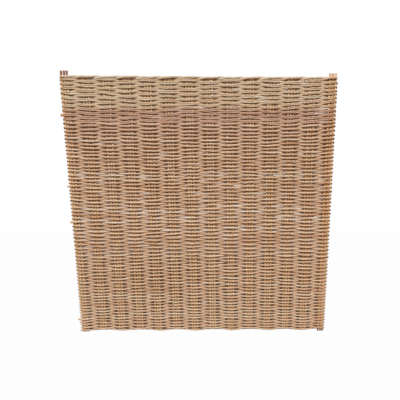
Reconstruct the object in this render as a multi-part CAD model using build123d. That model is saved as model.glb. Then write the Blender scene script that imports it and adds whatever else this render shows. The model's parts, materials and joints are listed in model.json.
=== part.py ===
"""Woven fence panel: upright stakes in groups of three, held by a wall of woven rods.

Sizes are in millimetres. X runs along the panel, Y through it and Z up. The front faces -Y.
The origin is on the ground, midway along the panel and in the middle of its thickness.
"""
import os

from build123d import *

# Stakes: the upright rods
stake_groups = 14
stakes_per_group = 3
group_pitch = 132.0       # between the middles of neighbouring groups
stake_spacing = 17.5      # between neighbouring stakes of a group
stake_diameter = 13.0
foot_length = 16.0        # how far the end stakes stand out below the weave
left_tip_length = 30.0    # how far the left end stakes stand out above it
right_tip_length = 15.0
end_stake_sides = 12      # of the section that stands for a round rod
inner_stake_sides = 8

# Weavers: the rods that pass in front of one group and behind the next
weaver_rows = 132
row_pitch = 13.6
weaver_thickness = 13.0
edge_margin = 42.0        # from the middle of an end group to the edge where the weavers turn
edge_thickness = 18.0     # of the panel at that edge

# Seats for the stakes
seat_clearance = 0.3      # between a stake and the weave round it
seat_floor = 2.0          # weave between the bottom of a hollow and the stakes behind it

# Gaps: openings through the weave beside the inner groups, where the rows stand apart
gap_height = 20.0         # at the stakes; the rows close again away from them
gap_length = 38.0
gap_margin = 2.5          # weave between a gap and the seat beside it
loose_band_rows = 24      # at the top, where the gaps lie closer together
gaps_in_loose_band = 2    # beside each inner group
gaps_below = 5
gap_stagger = 3           # columns before the heights of the gaps repeat

# Sizes that follow from those above
woven_height = weaver_rows * row_pitch
panel_width = (stake_groups - 1) * group_pitch + 2 * edge_margin
crest_depth = stake_diameter / 2 + seat_clearance + weaver_thickness
seat_depth = stake_diameter / 2 + seat_clearance
seat_half_width = (stakes_per_group - 1) * stake_spacing / 2 + seat_depth
hollow_depth = seat_depth + seat_floor

FRONT, BACK = -1, 1
LEFT, RIGHT = -1, 1
DOWN, UP = -1, 1


def group_x(group):
    """Middle of a stake group. One past either end is the edge of the panel."""
    if group < 0:
        return -panel_width / 2
    if group >= stake_groups:
        return panel_width / 2
    return (group - (stake_groups - 1) / 2) * group_pitch


def row_z(row):
    return foot_length + row * row_pitch


def is_crest(side, group, row):
    """Whether a row of the weave passes outside a group of stakes on this face of the panel."""
    in_front = (group + row) % 2 == 0
    return in_front == (side == FRONT)


def weave_point(side, group, row):
    """Where a row crosses a group on one face: a crest, the bottom of a hollow or the edge."""
    if group < 0 or group >= stake_groups:
        depth = edge_thickness / 2
    elif is_crest(side, group, row):
        depth = crest_depth
    else:
        depth = hollow_depth
    return Vector(group_x(group), side * depth, row_z(row))


def flat(points):
    """A flat face with these corners."""
    return Face(Wire.make_polygon(points, close=True))


def gap_rows(group):
    """Rows of the gaps beside a group, each at a hollow in the front. End groups have none."""
    if not 0 < group < stake_groups - 1:
        return []
    tight_rows = weaver_rows - loose_band_rows
    rows = []
    for first, count, band in ((0, gaps_below, tight_rows),
                               (tight_rows, gaps_in_loose_band, loose_band_rows)):
        for number in range(count):
            stagger = (group % gap_stagger + 0.5) / gap_stagger
            row = first + int((number + stagger) * band / count)
            rows.append(row + 1 if is_crest(FRONT, group, row) else row)
    return rows


def gap_side(group, row):
    """The side of its group on which a gap lies. The gaps of a column take turns."""
    return LEFT if gap_rows(group).index(row) % 2 else RIGHT


def has_gap(group, row, across):
    """Whether a gap lies at this row on this side of a group."""
    return row in gap_rows(group) and gap_side(group, row) == across


def on_face(corners, x, z):
    """The point of a flat face at this x and z."""
    origin, first, second = corners[0], corners[1] - corners[0], corners[2] - corners[0]
    spread = first.X * second.Z - first.Z * second.X
    dx, dz = x - origin.X, z - origin.Z
    a = (dx * second.Z - dz * second.X) / spread
    b = (first.X * dz - first.Z * dx) / spread
    return origin + first * a + second * b


def gap_corners(group, row, across, rise):
    """Near end, highest or lowest point and far end of one half of a gap, as x and z."""
    near = group_x(group) + across * (seat_half_width + gap_margin)
    far = near + across * gap_length
    z = row_z(row)
    return (near, z), (near, z + rise * gap_height / 2), (far, z)


def gap_crossing(group, row, across, rise):
    """Where the slanting edge of a gap crosses the ridge on the back, as x and z."""
    (near, z), (_, tip), (far, _) = gap_corners(group, row, across, rise)
    ridge = rise * row_pitch / group_pitch * across
    fall = (z - tip) / (far - near)
    x = (tip - z - fall * near + ridge * group_x(group)) / (ridge - fall)
    return x, z + ridge * (x - group_x(group))


def gap_ridge(group, row, across, rise):
    """Where the near end of a gap crosses that ridge."""
    (near, z), _, _ = gap_corners(group, row, across, rise)
    return near, z + rise * row_pitch * abs(near - group_x(group)) / group_pitch


def face_outline(side, group, row, rise, across, corners):
    """Outlines, as x and z, of what the gaps leave of one sloping face of a hollow."""
    crest, neighbour, middle = [(corner.X, corner.Z) for corner in corners]
    if side == FRONT and has_gap(group, row, across):
        near, tip, far = gap_corners(group, row, across, rise)
        return [[middle, near, tip, far, neighbour, crest]]
    if side == BACK and has_gap(group + across, row, -across):
        gap = (group + across, row, -across, rise)
        near, tip, far = gap_corners(*gap)
        return [[neighbour, near, gap_ridge(*gap)], [middle, far, gap_crossing(*gap), crest]]
    if side == BACK and has_gap(group, row + rise, across):
        gap = (group, row + rise, across, -rise)
        near, tip, far = gap_corners(*gap)
        return [[crest, gap_ridge(*gap), tip, gap_crossing(*gap), neighbour, middle]]
    return [[crest, neighbour, middle]]


def hollow_faces(side, group, row):
    """The sloping faces between a hollow and the crests above, below and beside it."""
    middle = weave_point(side, group, row)
    faces = []
    for rise in (DOWN, UP):
        if not 0 <= row + rise <= weaver_rows:
            continue
        crest = weave_point(side, group, row + rise)
        for across in (LEFT, RIGHT):
            corners = [crest, weave_point(side, group + across, row), middle]
            for outline in face_outline(side, group, row, rise, across, corners):
                faces.append(flat([on_face(corners, x, z) for x, z in outline]))
    return faces


def gap_walls(group, row):
    """The three walls of a gap that runs from the front of the weave to its back."""
    across = gap_side(group, row)
    beside = group + across
    middle, neighbour = weave_point(FRONT, group, row), weave_point(FRONT, beside, row)
    back_middle, back_crest = weave_point(BACK, beside, row), weave_point(BACK, group, row)
    front_end, back_end, walls = [], [], []
    for rise in (DOWN, UP):
        gap = (group, row, across, rise)
        near, tip, far = gap_corners(*gap)
        front = [weave_point(FRONT, group, row + rise), neighbour, middle]
        low = [weave_point(BACK, beside, row + rise), back_crest, back_middle]
        high = [back_crest, weave_point(BACK, beside, row + rise),
                weave_point(BACK, group, row + rise)]
        front_tip, front_far = on_face(front, *tip), on_face(front, *far)
        back_tip, back_far = on_face(high, *tip), on_face(low, *far)
        back_crossing = on_face(low, *gap_crossing(*gap))
        walls.append(flat([front_tip, front_far, back_far, back_crossing, back_tip]))
        front_end.append(front_tip)
        back_end.append([back_tip, on_face(low, *gap_ridge(*gap))])
    front_near, back_near = on_face(front, *near), on_face(low, *near)
    walls.append(flat([front_end[0], front_near, front_end[1], back_end[1][0], back_end[1][1],
                       back_near, back_end[0][1], back_end[0][0]]))
    return walls


def edge_rows(side, group):
    """Rows at which the sloping faces of an end group meet the edge of the panel."""
    rows = [row for row in range(weaver_rows + 1) if not is_crest(side, group, row)]
    return sorted(set(rows + [0, weaver_rows]))


def turn_faces(side, group, edge):
    """Faces between the crests of an end group and the edge, where the weavers turn."""
    rows = edge_rows(side, group)
    faces = []
    for lower, upper in zip(rows, rows[1:]):
        crest_row = next(row for row in range(lower, upper + 1) if is_crest(side, group, row))
        faces.append(flat([
            weave_point(side, edge, lower),
            weave_point(side, edge, upper),
            weave_point(side, group, crest_row),
        ]))
    return faces


def edge_face(group, edge):
    """The narrow face at one end of the panel."""
    front = [weave_point(FRONT, edge, row) for row in edge_rows(FRONT, group)]
    back = [weave_point(BACK, edge, row) for row in edge_rows(BACK, group)]
    return flat(front + back[::-1])


def cap_face(row):
    """The top or bottom of the weave, with the mouths of the seats."""
    across = range(-1, stake_groups + 1)
    outline = [weave_point(FRONT, group, row) for group in across]
    outline += [weave_point(BACK, group, row) for group in reversed(across)]
    mouths = []
    for group in range(stake_groups):
        x, z = group_x(group), row_z(row)
        mouths.append(Wire.make_polygon([
            Vector(x + sx * seat_half_width, sy * seat_depth, z)
            for sx, sy in ((LEFT, FRONT), (RIGHT, FRONT), (RIGHT, BACK), (LEFT, BACK))
        ], close=True))
    return Face(Wire.make_polygon(outline, close=True), mouths)


def seat_walls(group):
    """The upright seat that a group of stakes stands in."""
    x, bottom, top = group_x(group), row_z(0), row_z(weaver_rows)
    corners = [(x + sx * seat_half_width, sy * seat_depth)
               for sx, sy in ((LEFT, FRONT), (RIGHT, FRONT), (RIGHT, BACK), (LEFT, BACK))]
    faces = []
    for (ax, ay), (bx, by) in zip(corners, corners[1:] + corners[:1]):
        faces.append(flat([Vector(ax, ay, bottom), Vector(bx, by, bottom),
                           Vector(bx, by, top), Vector(ax, ay, top)]))
    return faces


def woven_wall():
    """All the weavers as one closed solid."""
    faces = [cap_face(0), cap_face(weaver_rows)]
    for group in range(stake_groups):
        faces += seat_walls(group)
        for side in (FRONT, BACK):
            for row in range(weaver_rows + 1):
                if not is_crest(side, group, row):
                    faces += hollow_faces(side, group, row)
        for row in gap_rows(group):
            faces += gap_walls(group, row)
    for group, edge in ((0, -1), (stake_groups - 1, stake_groups)):
        faces.append(edge_face(group, edge))
        for side in (FRONT, BACK):
            faces += turn_faces(side, group, edge)
    return Solid(Shell(faces))


def stake(group, number):
    """One upright rod. Those of the end groups stand out of the weave at both ends."""
    x = group_x(group) + (number - (stakes_per_group - 1) / 2) * stake_spacing
    bottom, top = row_z(0), row_z(weaver_rows)
    if group == 0:
        bottom, top = bottom - foot_length, top + left_tip_length
    elif group == stake_groups - 1:
        bottom, top = bottom - foot_length, top + right_tip_length
    sides = end_stake_sides if group in (0, stake_groups - 1) else inner_stake_sides
    section = RegularPolygon(stake_diameter / 2, sides)
    return Pos(x, 0, bottom) * extrude(section, top - bottom)


os.makedirs("parts", exist_ok=True)
export_step(woven_wall(), "parts/woven_wall.step")
for group in range(stake_groups):
    for number in range(stakes_per_group):
        export_step(stake(group, number), f"parts/stake_{group + 1:02d}_{number + 1}.step")
print(f"panel {panel_width:.0f} wide, weave {woven_height:.0f} high, {2 * crest_depth:.1f} thick")
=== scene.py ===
# %% [markdown]
# # A woven fence panel
# The real object is a garden hurdle: upright stakes in groups of three, with long peeled rods
# woven in front of one group and behind the next. The solids from the CAD step hold the size
# and the place of everything, so they are loaded first and used as a fixed frame.

# %% Load the frame
import json
import math

import bpy
import numpy as np
from mathutils import Matrix, Vector

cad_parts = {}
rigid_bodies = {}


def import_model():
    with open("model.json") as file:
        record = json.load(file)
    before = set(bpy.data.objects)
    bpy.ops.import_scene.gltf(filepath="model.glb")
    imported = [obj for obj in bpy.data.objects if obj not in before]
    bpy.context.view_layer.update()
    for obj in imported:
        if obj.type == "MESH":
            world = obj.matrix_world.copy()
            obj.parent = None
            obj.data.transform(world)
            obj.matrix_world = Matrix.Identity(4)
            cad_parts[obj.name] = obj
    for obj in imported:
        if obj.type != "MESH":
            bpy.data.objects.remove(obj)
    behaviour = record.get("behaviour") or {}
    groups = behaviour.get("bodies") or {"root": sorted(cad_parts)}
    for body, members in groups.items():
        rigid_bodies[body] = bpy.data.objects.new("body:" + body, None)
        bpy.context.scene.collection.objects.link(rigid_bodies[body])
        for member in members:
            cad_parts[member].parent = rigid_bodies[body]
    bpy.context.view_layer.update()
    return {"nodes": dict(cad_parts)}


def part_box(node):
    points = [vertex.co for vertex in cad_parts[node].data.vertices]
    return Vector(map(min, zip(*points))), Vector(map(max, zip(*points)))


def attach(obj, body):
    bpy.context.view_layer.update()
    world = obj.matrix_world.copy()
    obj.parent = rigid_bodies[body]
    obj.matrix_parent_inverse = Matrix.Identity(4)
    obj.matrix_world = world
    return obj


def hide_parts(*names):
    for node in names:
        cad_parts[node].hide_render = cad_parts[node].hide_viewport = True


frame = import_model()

# %% [markdown]
# ## Measures taken from the solids
# Nothing is fitted by eye here. The stakes' own boxes say how thick the rods are, how far
# apart they stand and where each group is, and the wall's box says where the weave begins
# and ends.

# %% Read the measures
stakes_per_group = 3
stake_names = sorted(name for name in frame["nodes"] if name.startswith("stake_"))
group_count = len(stake_names) // stakes_per_group
stake_boxes = [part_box(name) for name in stake_names]
stake_centres = [(low.x + high.x) / 2 for low, high in stake_boxes]
group_centres = [stake_centres[1 + stakes_per_group * group] for group in range(group_count)]
stake_radius = (stake_boxes[0][1].x - stake_boxes[0][0].x) / 2
stake_spacing = stake_centres[1] - stake_centres[0]
group_pitch = group_centres[1] - group_centres[0]
wall_low, wall_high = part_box("woven_wall")
weave_bottom, weave_top = wall_low.z, wall_high.z
half_width = wall_high.x
print(f"{group_count} groups {group_pitch * 1000:.0f} mm apart,",
      f"stakes {stake_radius * 2000:.0f} mm thick")

# %% [markdown]
# ## The camera
# The photograph was taken by someone standing in front of the panel at eye level, so the
# panel gets narrower towards the ground. The place, the turn and the lens below were worked
# out from the four corners of the weave in the picture. The lens is shifted a little, because
# the picture was cropped off its middle.

# %% Place the camera
picture_size = 400
focal_pixels = 420
centre_shift_pixels = (20, 6)
camera_place = Vector((0.116, -2.836, 1.568))
camera_turn = math.radians(0.31)
camera_tilt = math.radians(-12.39)
camera_roll = math.radians(-0.09)

camera_data = bpy.data.cameras.new("eye_level_camera")
camera_data.sensor_width = 36
camera_data.lens = camera_data.sensor_width * focal_pixels / picture_size
camera_data.shift_x = -centre_shift_pixels[0] / picture_size
camera_data.shift_y = centre_shift_pixels[1] / picture_size
camera = bpy.data.objects.new("eye_level_camera", camera_data)
bpy.context.scene.collection.objects.link(camera)
camera.matrix_world = (
    Matrix.Translation(camera_place)
    @ Matrix.Rotation(-camera_turn, 4, "Z")
    @ Matrix.Rotation(math.radians(90) + camera_tilt, 4, "X")
    @ Matrix.Rotation(camera_roll, 4, "Z")
)
bpy.context.scene.camera = camera
bpy.context.scene.view_settings.view_transform = "Standard"
print("camera lens", round(camera_data.lens, 1), "mm")

# %% [markdown]
# ## A helper for shader nodes
# Every material below is a small tree of nodes. Adding a node, setting it up and joining its
# inputs is the same few lines each time, so one helper does it.

# %% Node helpers
def put(tree, kind, inputs=None, **settings):
    """Adds a node, sets it up, and fills its inputs with values or joins them to outputs."""
    node = tree.nodes.new(kind)
    for name, value in settings.items():
        setattr(node, name, value)
    for name, value in (inputs or {}).items():
        if isinstance(value, bpy.types.NodeSocket):
            tree.links.new(value, node.inputs[name])
        else:
            node.inputs[name].default_value = value
    return node


def maths(tree, operation, first, second=0.0):
    """The result of one Math node."""
    return put(tree, "ShaderNodeMath", {0: first, 1: second}, operation=operation).outputs[0]


def colour(red, green, blue):
    """A colour picked on screen, 0 to 255, as the straight values that nodes use."""
    def straight(value):
        value /= 255
        return value / 12.92 if value <= 0.04045 else ((value + 0.055) / 1.055) ** 2.4
    return (straight(red), straight(green), straight(blue), 1.0)


def ramp(tree, factor, stops):
    """A Color Ramp's output. Stops are pairs of a place from 0 to 1 and a colour."""
    node = put(tree, "ShaderNodeValToRGB", {"Fac": factor})
    elements = node.color_ramp.elements
    while len(elements) < len(stops):
        elements.new(0.5)
    for element, (place, value) in zip(elements, stops):
        element.position = place
        element.color = value
    return node.outputs["Color"]


def blend(tree, way, factor, first, second):
    """The output of a Mix node for colours."""
    node = put(tree, "ShaderNodeMix", {"Factor": factor}, data_type="RGBA", blend_type=way)
    for socket, value in ((node.inputs[6], first), (node.inputs[7], second)):
        if isinstance(value, bpy.types.NodeSocket):
            tree.links.new(value, socket)
        else:
            socket.default_value = value
    return node.outputs[2]


def spread(tree, value, low, high, to_low=0.0, to_high=1.0):
    """The output of a Map Range node that is smooth at both ends."""
    return put(tree, "ShaderNodeMapRange", {"Value": value, "From Min": low, "From Max": high,
                                            "To Min": to_low, "To Max": to_high},
               interpolation_type="SMOOTHSTEP").outputs["Result"]


def new_material(name):
    """An empty material and its tree."""
    material = bpy.data.materials.new(name)
    material.use_nodes = True
    material.node_tree.nodes.clear()
    return material, material.node_tree

# %% [markdown]
# ## Floor, background and light
# The picture has a plain white background, and the slots of the weave are dark in it. The sky
# is white where the camera looks at it, and lights the panel at an ordinary level otherwise.
# The floor is white as well, except for a patch right behind the panel, painted dark brown as
# shade, which also keeps its real shading and the panel's shadow. From the front only the slots
# show that painted shade, so they look dark. It has soft edges and is easily seen from behind,
# which is the price of it.
# A soft sun high in front lights the top of each rod and leaves the hollows dark, and a weaker
# one behind does so for the back.

# %% Background and floor
def seen_directly(tree):
    """1 for a ray from the camera or one mirrored towards it, otherwise 0."""
    path = put(tree, "ShaderNodeLightPath")
    mirrored = maths(tree, "MAXIMUM", path.outputs["Is Glossy Ray"],
                     path.outputs["Is Transmission Ray"])
    return maths(tree, "MAXIMUM", path.outputs["Is Camera Ray"], mirrored)


sky_strength = 0.24
world = bpy.data.worlds.new("soft_sky")
bpy.context.scene.world = world
world.use_nodes = True
world.node_tree.nodes.clear()
strength = spread(world.node_tree, seen_directly(world.node_tree), 0, 1, sky_strength, 1.0)
sky = put(world.node_tree, "ShaderNodeBackground", {"Color": (1, 1, 1, 1), "Strength": strength})
put(world.node_tree, "ShaderNodeOutputWorld", {"Surface": sky.outputs[0]})

# Painted shade: dark brown for the ground right behind the panel, so that the slots of the weave
# look dark from the front
painted_shade_ground = (0.112, 0.086, 0.066, 1)
most_white = 0.985                      # near the panel, the rest keeps the floor's shading
widens_right, widens_left = 0.26, 0.35  # of the dark ground, for each metre behind the panel
# Each pair says where a fade begins and ends, in metres. All four end in white.
front_fade = (0.034, 0.020)
side_fade = (half_width - 0.06, half_width + 0.01)
back_fade = (1.4, 2.8)
far_side_fade = (1.8, 3.0)

floor_material, tree = new_material("white_floor_with_painted_shade")
shaded = put(tree, "ShaderNodeBsdfDiffuse", {"Color": painted_shade_ground})
white = put(tree, "ShaderNodeEmission", {"Color": (1, 1, 1, 1), "Strength": 1.0})
floor_place = put(tree, "ShaderNodeSeparateXYZ", {
    0: put(tree, "ShaderNodeTexCoord").outputs["Object"]})
to_right, behind = floor_place.outputs["X"], floor_place.outputs["Y"]
right = maths(tree, "SUBTRACT", to_right, maths(tree, "MULTIPLY", behind, widens_right))
left = maths(tree, "SUBTRACT", maths(tree, "MULTIPLY", to_right, -1),
             maths(tree, "MULTIPLY", behind, widens_left))
aside = maths(tree, "MAXIMUM", left, right)
white_share = maths(tree, "MAXIMUM", spread(tree, behind, *front_fade, 0, most_white),
                    spread(tree, aside, *side_fade, 0, most_white))
for distance, fade in ((behind, back_fade), (maths(tree, "ABSOLUTE", to_right), far_side_fade)):
    white_share = maths(tree, "MAXIMUM", white_share, spread(tree, distance, *fade))
factor = maths(tree, "MULTIPLY", seen_directly(tree), white_share)
mixed = put(tree, "ShaderNodeMixShader", {0: factor, 1: shaded.outputs[0], 2: white.outputs[0]})
put(tree, "ShaderNodeOutputMaterial", {"Surface": mixed.outputs[0]})

bpy.ops.object.select_all(action="DESELECT")
bpy.ops.mesh.primitive_plane_add(size=60, location=(0, 0, 0))
floor = bpy.context.object
floor.name = "floor"
floor.data.materials.append(floor_material)

# %% Lamps
def add_sun(name, turn, height, softness, strength):
    """A soft sun. It shines from this many degrees round to the right of the front, and up."""
    data = bpy.data.lights.new(name, "SUN")
    data.angle = math.radians(softness)
    data.energy = strength
    lamp = bpy.data.objects.new(name, data)
    lamp.rotation_euler = (math.radians(90 - height), 0, math.radians(turn))
    bpy.context.scene.collection.objects.link(lamp)


add_sun("soft_front_sun", turn=-4, height=40, softness=13, strength=3.4)
add_sun("soft_back_sun", turn=165, height=34, softness=24, strength=1.2)

# %% [markdown]
# ## The finish of a peeled rod
# Peeled willow is smooth and buff. Fine streaks run along it, patches of it are browner or
# paler, its colour drifts slowly from butt to tip, and small dark scars mark where buds were.
# All of that follows the rod round every bend, so it can't be laid on by the room's axes. It
# reads the rod's own map instead: the first number goes round the rod and the second along
# it, in metres. Going round is turned into a circle, so that the pattern has no seam.

# %% The shared group for grain
metres_per_tone = 57.0     # moves the pattern along each rod by its tone, so that no two match


def make_grain_group():
    """A node group with the streaks, the slow drift, the patches and the scars of a rod."""
    tree = bpy.data.node_groups.new("rod_grain", "ShaderNodeTree")
    tree.interface.new_socket("Tone", in_out="INPUT", socket_type="NodeSocketFloat")
    for name in ("Streaks", "Drift", "Patches", "Scars", "Height"):
        tree.interface.new_socket(name, in_out="OUTPUT", socket_type="NodeSocketFloat")
    given = put(tree, "NodeGroupInput")
    rod_map = put(tree, "ShaderNodeUVMap", uv_map="rod_map")
    place = put(tree, "ShaderNodeSeparateXYZ", {0: rod_map.outputs[0]})
    angle = maths(tree, "MULTIPLY", place.outputs[0], 2 * math.pi)
    start = maths(tree, "MULTIPLY", given.outputs["Tone"], metres_per_tone)
    along = maths(tree, "ADD", place.outputs[1], start)
    across = [maths(tree, operation, angle) for operation in ("COSINE", "SINE")]

    def noise(stretch, scale, detail):
        """Noise on the rod's surface, drawn out along it by the stretch."""
        drawn = maths(tree, "MULTIPLY", along, 1 / stretch)
        point = put(tree, "ShaderNodeCombineXYZ", {0: across[0], 1: across[1], 2: drawn})
        return put(tree, "ShaderNodeTexNoise", {"Vector": point.outputs[0], "Scale": scale,
                                                "Detail": detail}).outputs["Fac"]

    streaks = noise(stretch=0.12, scale=2.6, detail=4.0)
    drift = noise(stretch=0.35, scale=0.9, detail=1.0)
    patches = noise(stretch=0.045, scale=0.8, detail=2.0)
    scars = spread(tree, noise(stretch=0.016, scale=1.1, detail=0.5), 0.66, 0.74)
    fine = noise(stretch=0.03, scale=5.0, detail=2.0)
    height = maths(tree, "ADD", maths(tree, "MULTIPLY", streaks, 0.6),
                   maths(tree, "MULTIPLY", fine, 0.4))
    height = maths(tree, "ADD", height, maths(tree, "MULTIPLY", scars, 0.5))
    put(tree, "NodeGroupOutput", {"Streaks": streaks, "Drift": drift, "Patches": patches,
                                  "Scars": scars, "Height": height})
    return tree


grain_group = make_grain_group()
print("grain group has", len(grain_group.nodes), "nodes")

# %% The materials of weavers and stakes
rod_share, drift_share = 0.5, 1.8    # how much of a rod's colour is its own, and how much drifts
streak_tints = [(0.30, (0.66, 0.52, 0.43, 1)), (0.62, (1.04, 1.06, 1.01, 1))]
patch_tints = [(0.34, (0.78, 0.62, 0.50, 1)), (0.50, (1.02, 1.01, 1.00, 1)),
               (0.66, (1.02, 1.12, 1.25, 1))]
# Painted shade: the underside of each rod is painted darker and redder, fully where it faces
# straight down and less so near the top
painted_shade_underside_tint = (0.56, 0.36, 0.25, 1)
painted_shade_facing = (0.05, -0.80)
painted_shade_heights, painted_shade_share_at_top = (1.15, 1.62), 0.25
scar_colour = colour(120, 82, 52)


def rod_material(name, tones, zones):
    """Peeled wood, with painted shade on its underside. The tones colour rod by rod, and the
    zones tint parts of the panel.
    """
    material, tree = new_material(name)
    tone = put(tree, "ShaderNodeAttribute", attribute_name="tone").outputs["Fac"]
    grain = put(tree, "ShaderNodeGroup", node_tree=grain_group)
    tree.links.new(tone, grain.inputs["Tone"])
    drift = maths(tree, "SUBTRACT", grain.outputs["Drift"], 0.5)
    shade = maths(tree, "ADD", maths(tree, "MULTIPLY", tone, rod_share), (1 - rod_share) / 2)
    shade = maths(tree, "ADD", shade, maths(tree, "MULTIPLY", drift, drift_share))
    wood = ramp(tree, shade, tones)
    streak = ramp(tree, grain.outputs["Streaks"], streak_tints)
    wood = blend(tree, "MULTIPLY", 1.0, wood, streak)
    patch = ramp(tree, grain.outputs["Patches"], patch_tints)
    wood = blend(tree, "MULTIPLY", 1.0, wood, patch)
    # Painted shade under each rod: darker and redder where it faces down, less so near the top
    facing = put(tree, "ShaderNodeSeparateXYZ", {
        0: put(tree, "ShaderNodeNewGeometry").outputs["Normal"]}).outputs["Z"]
    painted_underside_shade = spread(tree, facing, *painted_shade_facing)
    place = put(tree, "ShaderNodeSeparateXYZ", {
        0: put(tree, "ShaderNodeTexCoord").outputs["Object"]})
    reach = spread(tree, place.outputs["Z"], *painted_shade_heights, 1, painted_shade_share_at_top)
    painted_underside_shade = maths(tree, "MULTIPLY", painted_underside_shade, reach)
    wood = blend(tree, "MULTIPLY", painted_underside_shade, wood, painted_shade_underside_tint)
    for axis, low, high, tint in zones:
        mask = spread(tree, place.outputs[axis], low, high)
        wood = blend(tree, "MULTIPLY", mask, wood, tint)
    wood = blend(tree, "MIX", grain.outputs["Scars"], wood, scar_colour)
    rough = spread(tree, grain.outputs["Streaks"], 0.3, 0.7, 0.66, 0.48)
    bump = put(tree, "ShaderNodeBump", {"Height": grain.outputs["Height"], "Strength": 0.35,
                                        "Distance": 0.0012})
    surface = put(tree, "ShaderNodeBsdfPrincipled", {"Base Color": wood, "Roughness": rough,
                                                     "Normal": bump.outputs[0]})
    put(tree, "ShaderNodeOutputMaterial", {"Surface": surface.outputs[0]})
    return material


buff_tones = [
    (0.00, colour(194, 150, 116)),
    (0.20, colour(208, 172, 138)),
    (0.45, colour(220, 190, 162)),
    (0.62, colour(212, 178, 150)),
    (0.80, colour(212, 188, 156)),
    (1.00, colour(228, 212, 196)),
]
golden_tones = [
    (0.0, colour(232, 182, 118)),
    (0.4, colour(240, 198, 140)),
    (0.7, colour(244, 210, 160)),
    (1.0, colour(248, 222, 184)),
]
UP_AXIS, LONG_AXIS = 2, 0
loose_band_start = 1.60
# A zone is an axis, where its tint begins, where it is full, and the tint. The tint stays full
# from there on, so the paler loose band at the top is tinted by the two browner zones as well.
weaver_zones = [
    (UP_AXIS, 1.28, 1.54, (0.90, 0.85, 0.87, 1)),
    (UP_AXIS, loose_band_start - 0.02, loose_band_start + 0.02, (1.24, 1.49, 1.47, 1)),
    (UP_AXIS, 1.50, 1.56, (0.90, 0.87, 0.88, 1)),
    (UP_AXIS, 0.35, 0.10, (0.97, 0.94, 0.92, 1)),
    # Painted shade: the top border is greyed a little, to tone down the highlights on it
    (UP_AXIS, weave_top - 0.030, weave_top - 0.010, (0.94, 0.94, 0.94, 1)),
    (UP_AXIS, 1.15, 0.35, (0.99, 1.00, 1.01, 1)),
    (LONG_AXIS, half_width - 0.11, half_width - 0.03, (0.94, 0.78, 0.62, 1)),
    # Painted warm shade: the rods where they turn round the left end stake are tinted golden
    (LONG_AXIS, -half_width + 0.030, -half_width + 0.008, (1.0, 0.86, 0.60, 1)),
]
weaver_material = rod_material("peeled_weaver", buff_tones, weaver_zones)
paler_high_up = (UP_AXIS, 0.9, 1.3, (0.96, 0.98, 1.12, 1))
browner_low_down = (UP_AXIS, 1.20, 0.60, (0.76, 0.70, 0.62, 1))


tip_fade = (weave_top - 0.002, weave_top + 0.004)
foot_fade = (0.034, 0.024)


def end_stake_zones(tip_tint, foot_tint):
    """The stakes at the two ends show a weathered tip above the weave and a foot below it."""
    return [paler_high_up, browner_low_down,
            (UP_AXIS, *tip_fade, tip_tint), (UP_AXIS, *foot_fade, foot_tint)]


stake_material = rod_material("peeled_stake", golden_tones, [paler_high_up, browner_low_down])
left_end_material = rod_material("left_end_stake", golden_tones, end_stake_zones(
    (0.40, 0.27, 0.26, 1), (0.95, 0.86, 0.80, 1)))
right_end_material = rod_material("right_end_stake", golden_tones, end_stake_zones(
    (0.88, 0.64, 0.66, 1), (0.50, 0.38, 0.34, 1)))

# %% [markdown]
# ## The cut ends
# Where a rod was cut, its end shows pale wood with fine rings round a darker pith. The ring
# pattern reads a number that every point of the mesh carries: 0 at the pith and 1 at the rim.

# %% The material of cut ends
ring_angle = 26.0          # radians from pith to rim, which makes about four rings
cut_material, tree = new_material("cut_end")
from_pith = put(tree, "ShaderNodeAttribute", attribute_name="from_pith").outputs["Fac"]
rings = maths(tree, "SINE", maths(tree, "MULTIPLY", from_pith, ring_angle))
wood = ramp(tree, from_pith, [(0.0, colour(120, 84, 56)), (0.16, colour(196, 152, 108)),
                              (0.8, colour(208, 168, 124)), (1.0, colour(150, 108, 74))])
shade = spread(tree, rings, -1, 1, 0.82, 1.0)
wood = blend(tree, "MULTIPLY", 1.0, wood, shade)
bump = put(tree, "ShaderNodeBump", {"Height": rings, "Strength": 0.3, "Distance": 0.0005})
surface = put(tree, "ShaderNodeBsdfPrincipled", {"Base Color": wood, "Roughness": 0.8,
                                                 "Normal": bump.outputs[0]})
put(tree, "ShaderNodeOutputMaterial", {"Surface": surface.outputs[0]})

# %% [markdown]
# ## Making one rod
# A rod could be a cylinder bent by hand, but its path has dozens of bends. A NURBS path with a
# round bevel follows any row of points, takes a thickness at each, and comes with a map that
# runs round and along it. It is then turned into a mesh, its two open ends are filled, and each
# end is inset a little, which gives the small chamfer that a cut leaves.

# %% The rod maker
chamfer = 0.0010
cut_depth = 0.0007         # how far the middle of a cut end stands proud of its rim
same_point = 0.00001       # mesh points closer than this are joined
smooth_below = math.radians(40)


def make_rod(name, points, radii, twist, sides, steps, tone):
    """One rod as a mesh, along points in metres, with a radius at each."""
    bpy.ops.object.select_all(action="DESELECT")
    bpy.ops.curve.primitive_nurbs_path_add()
    rod = bpy.context.object
    rod.name = name
    curve = rod.data
    curve.twist_mode = twist
    curve.bevel_depth = 1.0
    curve.bevel_resolution = sides // 2 - 2
    spline = curve.splines[0]
    spline.points.add(len(points) - len(spline.points))
    spline.points.foreach_set("co", np.c_[points, np.ones(len(points))].ravel())
    spline.points.foreach_set("radius", radii)
    spline.order_u = 3
    spline.use_endpoint_u = True
    spline.resolution_u = steps
    bpy.ops.object.convert(target="MESH")
    cut_ends(rod.data, sides)
    dress_rod(rod, points, tone)
    return rod


def cut_ends(mesh, sides):
    """Fills both ends of the tube, chamfers them and gives each a point at its pith."""
    bpy.ops.object.mode_set(mode="EDIT")
    bpy.ops.mesh.select_all(action="SELECT")
    bpy.ops.mesh.remove_doubles(threshold=same_point)
    bpy.ops.mesh.fill_holes(sides=0)
    bpy.ops.mesh.normals_make_consistent(inside=False)
    bpy.ops.mesh.select_all(action="DESELECT")
    bpy.ops.mesh.select_face_by_sides(number=sides, type="EQUAL")
    bpy.ops.mesh.inset(thickness=chamfer, depth=cut_depth)
    bpy.ops.mesh.poke()
    bpy.ops.object.mode_set(mode="OBJECT")


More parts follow.
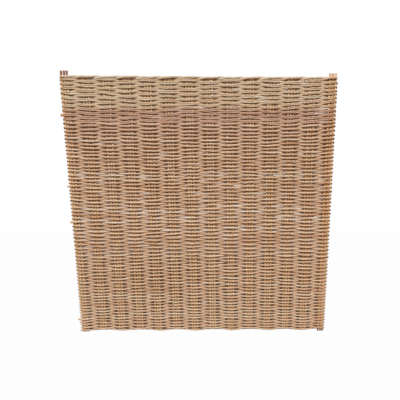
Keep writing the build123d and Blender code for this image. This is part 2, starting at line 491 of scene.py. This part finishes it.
def dress_rod(rod, points, tone):
    """Gives a rod its map in metres, its tone, its pith marks and its materials."""
    mesh = rod.data
    length = float(np.linalg.norm(np.diff(points, axis=0), axis=1).sum())
    rod_map = mesh.uv_layers[0]
    rod_map.name = "rod_map"
    places = np.zeros(len(mesh.loops) * 2, np.float32)
    rod_map.data.foreach_get("uv", places)
    places[1::2] *= length
    rod_map.data.foreach_set("uv", places)
    tones = mesh.attributes.new("tone", "FLOAT", "POINT")
    tones.data.foreach_set("value", np.full(len(mesh.vertices), tone, np.float32))
    cut = np.array([face.select for face in mesh.polygons])
    corners = np.zeros(len(mesh.vertices), int)
    for face in mesh.polygons:
        if face.select:
            for vertex in face.vertices:
                corners[vertex] += 1
    pith = mesh.attributes.new("from_pith", "FLOAT", "POINT")
    pith.data.foreach_set("value", np.where(corners > 2, 0.0, 1.0).astype(np.float32))
    mesh.materials.append(None)
    mesh.materials.append(cut_material)
    mesh.polygons.foreach_set("material_index", cut.astype(np.int32))
    bpy.ops.object.shade_smooth_by_angle(angle=smooth_below)


def finish_rod(rod, material, slot, *nodes):
    """Gives a rod its wood, hangs it on the root body and hides the solids it stands for."""
    rod.data.materials[0] = material
    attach(rod, "root")
    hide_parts(*nodes)

# %% [markdown]
# ## How the panel sways
# A hurdle is woven by hand and is never quite square. This one leans a little to the left
# towards its top and bellies out to the right near the ground. It is also about one part in a
# hundred wider than the solids, a little more so at its top. Stakes and weavers share one
# function for it, so that they stay together.

# %% The sway
foot_shift, shift_lost_by_top = 0.005, 0.009
belly_at_foot = 0.007
wider_at_foot, wider_still_at_top = 0.008, 0.006     # as shares of the width


def sway(x, z):
    """How far to the right of its drawn place a point of the panel is, in metres."""
    share_up = (z - weave_bottom) / (weave_top - weave_bottom)
    share_across = (x + half_width) / (2 * half_width)
    lean = foot_shift - shift_lost_by_top * share_up
    belly = belly_at_foot * math.sin(math.pi * share_across) * (1 - share_up)
    spread_out = x * (wider_at_foot + wider_still_at_top * share_up)
    return lean + belly + spread_out

# %% [markdown]
# ## The stakes
# The stakes are rods too, only straighter and a little more golden. Each one follows its
# solid's box upwards, and its points stray by a millimetre or so, as on any natural rod. Most
# stakes get thinner upwards and end just below the border, which hides them. Those of the two
# end groups stand out at the top, a little thicker there, and the right ones are worn shorter.

# %% Make the stakes
chance = np.random.default_rng(7)      # seeded, so that every run makes the same panel
stake_points = 9
stake_stray = 0.0009
hidden_below_border = 0.012
worn_off_right_tips = 0.005
stake_sizes = (0.96, 1.06)             # the thinnest and thickest stake, against the solids
foot_size, shown_tip_size, hidden_tip_size = 1.04, 1.14, 0.95
for name, (low, high) in zip(stake_names, stake_boxes):
    top = high.z - cut_depth
    shows_tip = top > weave_top
    if not shows_tip:
        top -= hidden_below_border
    elif low.x > 0:
        top -= worn_off_right_tips
    heights = np.linspace(low.z + cut_depth, top, stake_points)
    stray = chance.normal(0, stake_stray, (stake_points, 2))
    middle_x, middle_y = (low.x + high.x) / 2, (low.y + high.y) / 2
    points = np.array([
        (middle_x + sway(middle_x, z) + dx, middle_y + dy, z)
        for z, (dx, dy) in zip(heights, stray)
    ])
    tip_size = shown_tip_size if shows_tip else hidden_tip_size
    thickness = chance.uniform(*stake_sizes) * np.linspace(foot_size, tip_size, stake_points)
    made = make_rod(name.replace("stake", "stake_rod"), points, stake_radius * thickness,
                    twist="MINIMUM", sides=12, steps=4, tone=chance.uniform())
    group = int(name.split("_")[1])
    material = {1: left_end_material, group_count: right_end_material}.get(group, stake_material)
    finish_rod(made, material, "stake_rods", name)
print(len(stake_names), "stakes made")

# %% [markdown]
# ## A plan of the weave
# Before any weaver is made, the whole weave is planned on paper. The weavers run to and fro
# like one long thread: a row passes in front of one group and behind the next, turns round
# the last stake and comes back as the next row. The thread is then cut into rods of about
# three metres, because that is how long willow grows. The rows lie a little closer than the
# ridges of the solids, because the picture shows more rows than the solids have ridges.

# %% Rows, passes and rods
row_pitch = 0.01264        # on average, which makes 143 rows with the border
row_count = round((weave_top - weave_bottom) / row_pitch) + 1
border_rows = 2
thread_rows = row_count - border_rows
last_group = group_count - 1


def in_front(row, group):
    """Whether a row passes in front of a group, which it does by turns."""
    return (row + group) % 2 == 0


def heading(row):
    """The way a row runs: 1 for left to right, and -1 for back again."""
    return 1 if row % 2 == 0 else -1


passes = [(row, group if heading(row) == 1 else last_group - group)
          for row in range(thread_rows) for group in range(group_count)]

# Heights at which a rod ends at the left edge, sticking out, instead of turning
left_edge_ends = (1.565, 1.09, 0.83, 0.105, 0.078)
passes_per_rod = (19, 27)
fewest_passes = 2          # a rod that ends at the left edge has at least this many more
stretch_for_edge = 4       # and may be this many longer than drawn, to reach it


def ends_at_left_edge(index):
    """Whether a rod may end at this pass, because it reaches the left edge at such a height."""
    row, group = passes[index]
    height = weave_bottom + row * row_pitch
    return group == 0 and heading(row) == -1 and any(
        abs(height - z) < row_pitch for z in left_edge_ends)


def can_join(index):
    """Rods are joined behind an inner group, where the two ends lie side by side."""
    row, group = passes[index]
    return not in_front(row, group) and 0 < group < last_group


rods = []
start = 0
while start < len(passes) - 1:
    stop = start + int(chance.integers(*passes_per_rod))
    reachable = range(start + fewest_passes, min(stop + stretch_for_edge, len(passes)))
    edge = next((index for index in reachable if ends_at_left_edge(index)), None)
    if edge is not None:
        rods.append((start, edge))
        start = edge + 1
        continue
    while stop < len(passes) and not can_join(stop):
        stop += 1
    stop = min(stop, len(passes) - 1)
    rods.append((start, stop))
    start = stop
print(row_count, "rows,", len(rods), "rods of about",
      round(np.mean([b - a for a, b in rods]) * group_pitch, 2), "m")

# %% [markdown]
# ## Thickness and height of every pass
# A rod is thick at its butt and thin at its tip, and the rods of one bundle differ. Because
# each row rests on the one below, the thickness of the rods decides how high every row lies:
# the heights are stacked up from the ground, and then stretched to fit the panel. Rods and rows
# are also given a size by height: the rows lie close together low down, where the weave was
# beaten tight, and wider apart at the top. Part of the difference from row to row is evened
# out, as a weaver does by choosing where a thick end goes.

# %% Stack the rows
butt_radius, tip_radius = 0.0078, 0.0065
taper_curve = 1.3          # above 1, a rod keeps its thickness near the butt
tip_first_share = 0.4      # of the rods are laid with the tip first
thinnest, thickest = 0.91, 1.09
# Sizes of rods and of the room between rows, at these shares of the panel's rows from the ground
rod_shares, rod_sizes = (0.1, 0.35, 0.5, 0.75, 0.83, 0.93), (0.88, 1.03, 1.01, 1.00, 1.15, 1.22)
room_shares, room_sizes = (0.10, 0.35, 0.60, 0.80, 0.93), (0.88, 1.05, 0.97, 0.92, 1.12)
radius = np.zeros((thread_rows, group_count))
pass_radius = []
for start, stop in rods:
    size = chance.uniform(thinnest, thickest)
    along = np.linspace(0, 1, stop - start + 1)
    if chance.uniform() < tip_first_share:
        along = along[::-1]
    row_share = np.array([row for row, group in passes[start:stop + 1]]) / thread_rows
    chosen = np.interp(row_share, rod_shares, rod_sizes)
    sizes = chosen * size * (butt_radius + (tip_radius - butt_radius) * along ** taper_curve)
    pass_radius.append(sizes)
    for index, value in zip(range(start, stop + 1), sizes):
        row, group = passes[index]
        radius[row, group] = max(radius[row, group], value)

loose_rows = 26
looseness = np.arange(thread_rows - 1) > thread_rows - loose_rows
tight_slack, loose_slack = 0.11, 0.08
slack = chance.normal(0, 1, (thread_rows - 1, group_count))
slack[:, 1:-1] = (slack[:, :-2] + 2 * slack[:, 1:-1] + slack[:, 2:]) / 3
slack *= np.where(looseness, loose_slack, tight_slack)[:, None]
share = np.arange(thread_rows - 1) / thread_rows
room = np.interp(share, room_shares, room_sizes)[:, None]
usual = radius.mean(axis=1)[:-1, None]
steps = (radius[:-1] + radius[1:]) / usual * room * (1 + slack)
stacked = np.vstack([np.zeros(group_count), np.cumsum(steps, axis=0)])
settled = 0.005            # the lowest row has slid down its stakes this far
border_radius = 0.0074
border_bite = 0.0005       # the border is pressed this far into the last row
border_level = weave_top - 2 * border_radius
lowest = weave_bottom - settled + radius[0]
highest = border_level - border_radius - radius[-1] + border_bite
stacked = lowest + stacked / stacked[-1] * (highest - lowest)
planned = np.concatenate([[0], np.cumsum(room)])
even = lowest + np.outer(planned / planned[-1], highest - lowest)
evened_out = 0.45
height = stacked + (even - stacked) * evened_out
most_off = float(abs(height - even).max())
print("heights stray from even rows by up to", round(most_off * 1000, 1), "mm")

# %% [markdown]
# ## Slants and openings
# Near the top the weaver beat the rows down less, so they slant a little: low in the middle,
# high at both sides and highest towards the right corner. They also tilt down to the right and
# run in slow waves there, and in places they stand apart and daylight shows. An opening pushes
# the rows above it up and those below it down, and its push fades with distance.

# %% Bend the rows
openings = [  # place along the panel, height, half its size; in metres
    (-0.345, 1.765, 0.0014),
    (-0.60, 1.585, 0.0014),
    (-0.545, 1.515, 0.0011),
    (-0.095, 1.770, 0.0014),
    (-0.05, 1.725, 0.0015),
    (0.085, 1.725, 0.0014),
    (0.085, 1.640, 0.0017),
    (0.375, 1.745, 0.0017),
    (0.385, 1.700, 0.0017),
    (0.375, 1.655, 0.0014),
    (0.385, 1.610, 0.0011),
    (-0.78, 1.665, 0.0013),
    (-0.765, 1.400, 0.0011),
    (-0.80, 1.560, 0.0013),
]
opening_width = 0.035
opening_reach = 0.040
# The slant grows from one height over a span, and dies out again below the border
slant_from, slant_span, slant_end_span = 1.0, 0.55, 0.18
rise_at_sides, dip_in_middle = 0.010, 0.004
corner_from, corner_rise_at_edge = 0.5, 0.020       # the first as a share of the half width
tilt_from, tilt_span, tilt_at_edge = 1.2, 0.6, -0.007
wave_size, wave_end_span = 0.0022, 0.10
calm_share = 0.35          # of the waves' size is left low down
wave_lengths = ((0.37, 0.21), (0.23, -0.17))        # across and upwards, in metres


def within_one(value):
    """The value, kept from 0 to 1."""
    return min(max(value, 0), 1)


def bend(x, z):
    """How far a point of a row is pushed up, in metres."""
    share_across = x / half_width
    slanted = within_one((z - slant_from) / slant_span)
    slanted *= within_one((weave_top - z) / slant_end_span)
    push = slanted * (rise_at_sides * share_across ** 2 - dip_in_middle)
    for open_x, open_z, size in openings:
        away = z - open_z
        fade = math.exp(-((x - open_x) / opening_width) ** 2 - (away / opening_reach) ** 2)
        push += size * math.copysign(1, away) * fade
    upper = within_one((z - tilt_from) / tilt_span)
    tilt = tilt_at_edge * share_across * upper
    wave = wave_size * sum(math.sin(2 * math.pi * (x / across + z / up))
                           for across, up in wave_lengths)
    wave *= (calm_share + (1 - calm_share) * upper) * min((weave_top - z) / wave_end_span, 1)
    corner = corner_rise_at_edge * within_one((share_across - corner_from) / (1 - corner_from))
    return push + tilt + wave + corner * slanted

# %% [markdown]
# ## The weavers
# Over a group, a weaver lies against three stakes, so its path has three points there: two
# beyond the outer stakes and one in the middle. The spline leaves the outer points on a slant
# and crosses to the other face midway between groups, right where its neighbours cross back.
# At the edge it goes round the outer stake on four points, which are the corners of half an
# octagon, and climbs to the next row as it goes.
#
# Real rods touch and give way to each other. Here they only get a little thinner where they
# cross and are not pushed apart, so many run into each other, by about 4 mm in the median pair
# and by 8 mm at worst.

# %% Paths of the weavers
bearing = 0.024            # from the middle of a group to the outer points of a pass
bearing_stray = 0.003
end_overhang = (0.006, 0.016)
edge_overhang = 0.002
# A rod is pressed thinner where it crosses its neighbours, more so low down
waist_heights, waists = (0.8, 1.3, 1.65), (0.90, 0.98, 0.98)
# A pass in front lies above its row and one behind below it, by this much at these heights
ride_heights = (0.35, 0.65, 0.85, 1.10, 1.30, 1.55, 1.75)
ride_sizes = (0.0006, 0.0014, 0.0028, 0.0026, 0.0012, 0.0, -0.0008)
side_step = 0.0034         # where two rods join, one starts this low and the other ends this high
edge_looseness, looseness_shares = 0.0012, (0.4, 1.0)
tight_stray, loose_stray = 0.0012, 0.0015
loose_stray_start = loose_band_start - 0.1
stray_outward_share = 0.5  # a rod strays less outwards than up and down
squashed_at_turn = 0.50    # a rod is flattened where it is bent sharply round the outer stake
half_corner = 22.5         # degrees, half the angle between two corners of an octagon
turn_angles = [math.radians(corner * half_corner) for corner in (3, 1, -1, -3)]
turn_climb = (0.02, 0.12, 0.88, 0.98)


def pass_point(row, group, offset, r, lift=0.0):
    """A point of a weaver beside one group."""
    if offset:
        r *= float(np.interp(height[row, group], waist_heights, waists))
        offset += chance.normal(0, bearing_stray)
    x = group_centres[group] + offset
    z = height[row, group] + lift
    side = -1 if in_front(row, group) else 1
    stray = chance.normal(0, tight_stray if z < loose_stray_start else loose_stray, 2)
    ride = float(np.interp(z, ride_heights, ride_sizes))
    z += bend(x, z) + stray[0] - side * ride
    y = side * (stake_radius + r) + stray[1] * stray_outward_share
    return (x + sway(x, z), y, z), r


def turn_points(row, group, r):
    """Points round the outer stake, from the back of one row to the front of the next."""
    way = heading(row)
    r *= squashed_at_turn
    stake_x = group_centres[group] + way * stake_spacing
    reach = (stake_radius + r) / math.cos(math.radians(half_corner))
    loose = edge_looseness * chance.uniform(*looseness_shares)
    low, high = height[row, group], height[row + 1, group]
    low, high = low + bend(stake_x, low), high + bend(stake_x, high)
    result = []
    for angle, climb in zip(turn_angles, turn_climb):
        x = stake_x + way * (reach + loose) * math.cos(angle)
        z = low + (high - low) * climb
        result.append(((x + sway(stake_x, z), reach * math.sin(angle), z), r))
    return result


def weaver_path(first, last, sizes):
    """Points and radii along one weaver, from one of its ends to the other."""
    path = []
    for index in range(first, last + 1):
        row, group = passes[index]
        way = heading(row)
        r = sizes[index - first]
        starts, ends = index == first, index == last
        edge_in, edge_out = (0, last_group) if way == 1 else (last_group, 0)
        lift = side_step * (ends and 0 < group < last_group) - side_step * (starts and index > 0)
        overhang = chance.uniform(*end_overhang)
        if ends and group == edge_out:
            overhang = edge_overhang
        if starts:
            path.append(pass_point(row, group, -way * (bearing + overhang), r, lift))
        elif group != edge_in:
            path.append(pass_point(row, group, -way * bearing, r))
        path.append(pass_point(row, group, 0, r, lift))
        if ends:
            path.append(pass_point(row, group, way * (bearing + overhang), r, lift))
        elif group == edge_out:
            path += turn_points(row, group, r)
        else:
            path.append(pass_point(row, group, way * bearing, r))
    return path

# %% [markdown]
# ## Thin rods in pairs
# Near the top the weave looks finer. Here that is made by thin rods that go in pairs, one above
# the other, as a weaver does who has no thick ones left. Whether the real panel has pairs can't
# be told. Both rods follow one path, a little above and a little below it.

# %% Make the weavers
paired = ((0.50, 0.62), (-0.50, 0.58))      # how far from the path, and how thick, in radii
single = ((0.0, 1.0),)
pair_wander = 0.16         # how far a rod of a pair strays up and down, in radii
pairs_start = 1.50         # the middle height of a rod above which it becomes a pair


def strand_of(path, shift, share):
    """Points and radii of one rod that keeps this far above a path."""
    points = []
    for (x, y, z), r in path:
        wander = chance.normal(0, pair_wander) if shift else 0.0
        closer = math.copysign((1 - share) * r, y)
        points.append((x, y - closer, z + (shift + wander) * r))
    return np.array(points), np.array([r * share for point, r in path])


made_rods = 0
for (first, last), sizes in zip(rods, pass_radius):
    path = weaver_path(first, last, sizes)
    middle_height = np.mean([point[2] for point, r in path])
    for shift, share in paired if middle_height > pairs_start else single:
        points, radii = strand_of(path, shift, share)
        made_rods += 1
        made = make_rod(f"weaver_{made_rods:02d}", points, radii, twist="Z_UP", sides=10, steps=4,
                        tone=chance.uniform())
        finish_rod(made, weaver_material, "weaver_rods", "woven_wall")
print(made_rods, "weavers made")

# %% [markdown]
# ## The border
# The top of the panel would come apart if its last rows could slip off the stakes. So two rods
# are twisted round each other from group to group: at each group one is in front and one
# behind, and between groups they cross with one above the other, by turns. This border is a
# guess from the even top edge of the picture.

# %% Make the border
border_stray = 0.0010
crossing_drop = 0.5        # both rods sink this much where they cross, in radii
for strand in range(border_rows):
    path = []
    r = border_radius
    for group in range(group_count):
        side = -1 if in_front(strand, group) else 1
        x = group_centres[group]
        for offset in (-bearing, 0, bearing):
            z = border_level + chance.normal(0, border_stray)
            z += bend(x + offset, z)
            path.append((x + offset + sway(x, z), side * (stake_radius + r), z))
        if group < last_group:
            above = 1 if group % 2 == strand else -1
            middle = x + group_pitch / 2
            z = border_level + (above - crossing_drop) * r
            path.append((middle + sway(x, z), 0, z + bend(middle, z)))
    points = np.array(path)
    made = make_rod(f"border_{strand + 1}", points, np.full(len(points), r), twist="Z_UP",
                    sides=10, steps=4, tone=chance.uniform())
    finish_rod(made, weaver_material, "weaver_rods", "woven_wall")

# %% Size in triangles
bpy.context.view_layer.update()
triangles = sum(len(face.vertices) - 2 for thing in bpy.data.objects
                if thing.type == "MESH" and not thing.hide_render
                for face in thing.data.polygons)
print("triangles", triangles)
